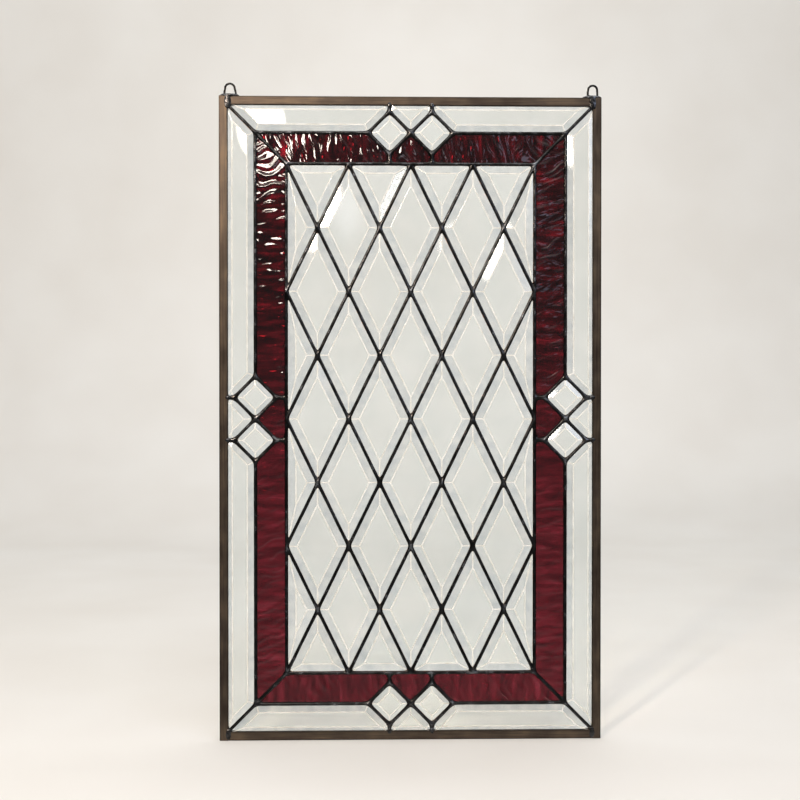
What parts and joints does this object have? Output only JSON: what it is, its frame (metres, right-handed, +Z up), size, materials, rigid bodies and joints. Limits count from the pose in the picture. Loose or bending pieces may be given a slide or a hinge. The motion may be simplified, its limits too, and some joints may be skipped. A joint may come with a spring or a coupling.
{
  "type": "window panel",
  "caption": "Hanging leaded glass panel: a field of bevelled diamonds inside ruby and clear borders with bevelled squares, in a channelled metal frame with wire loops.",
  "frame": {"origin": "on the panel's centre line, level with the inside top of the two hanging loops, midway through the frame's thickness", "axes": "+X to the right seen from the front, +Y away from the viewer, through the panel, +Z up; the front, with the bevels, faces -Y"},
  "size_m": [0.5206, 0.0093, 0.8951],
  "materials": {
    "frame_metal": "satin bronze-brown patina",
    "solder": "smooth black patina",
    "clear_glass": "polished bevelled glass",
    "ruby_glass": "rippled cathedral glass"
  },
  "bodies": {
    "root": {"frame_rail_left": "frame_metal", "frame_rail_right": "frame_metal", "frame_rail_top": "frame_metal", "frame_rail_bottom": "frame_metal", "hanging_loop_left": "solder", "hanging_loop_right": "solder", "solder_lattice": "solder", "clear_border_top": "clear_glass", "clear_border_right": "clear_glass", "clear_border_bottom": "clear_glass", "clear_border_left": "clear_glass", "ruby_border_top": "ruby_glass", "ruby_border_right": "ruby_glass", "ruby_border_bottom": "ruby_glass", "ruby_border_left": "ruby_glass", "square_top_1": "clear_glass", "square_top_2": "clear_glass", "square_right_1": "clear_glass", "square_right_2": "clear_glass", "square_bottom_1": "clear_glass", "square_bottom_2": "clear_glass", "square_left_1": "clear_glass", "square_left_2": "clear_glass", "diamond_1_2": "clear_glass", "diamond_1_4": "clear_glass", "diamond_1_6": "clear_glass", "diamond_2_1": "clear_glass", "diamond_2_3": "clear_glass", "diamond_2_5": "clear_glass", "diamond_2_7": "clear_glass", "diamond_3_2": "clear_glass", "diamond_3_4": "clear_glass", "diamond_3_6": "clear_glass", "diamond_4_1": "clear_glass", "diamond_4_3": "clear_glass", "diamond_4_5": "clear_glass", "diamond_4_7": "clear_glass", "diamond_5_2": "clear_glass", "diamond_5_4": "clear_glass", "diamond_5_6": "clear_glass", "diamond_6_1": "clear_glass", "diamond_6_3": "clear_glass", "diamond_6_5": "clear_glass", "diamond_6_7": "clear_glass", "diamond_7_2": "clear_glass", "diamond_7_4": "clear_glass", "diamond_7_6": "clear_glass", "half_diamond_top_1": "clear_glass", "half_diamond_top_2": "clear_glass", "half_diamond_right_1": "clear_glass", "half_diamond_right_2": "clear_glass", "half_diamond_bottom_1": "clear_glass", "half_diamond_bottom_2": "clear_glass", "half_diamond_left_1": "clear_glass", "half_diamond_left_2": "clear_glass", "corner_half_diamonds_top_left": "clear_glass", "corner_half_diamonds_top_right": "clear_glass", "corner_half_diamonds_bottom_left": "clear_glass", "corner_half_diamonds_bottom_right": "clear_glass"}
  },
  "joints": []
}
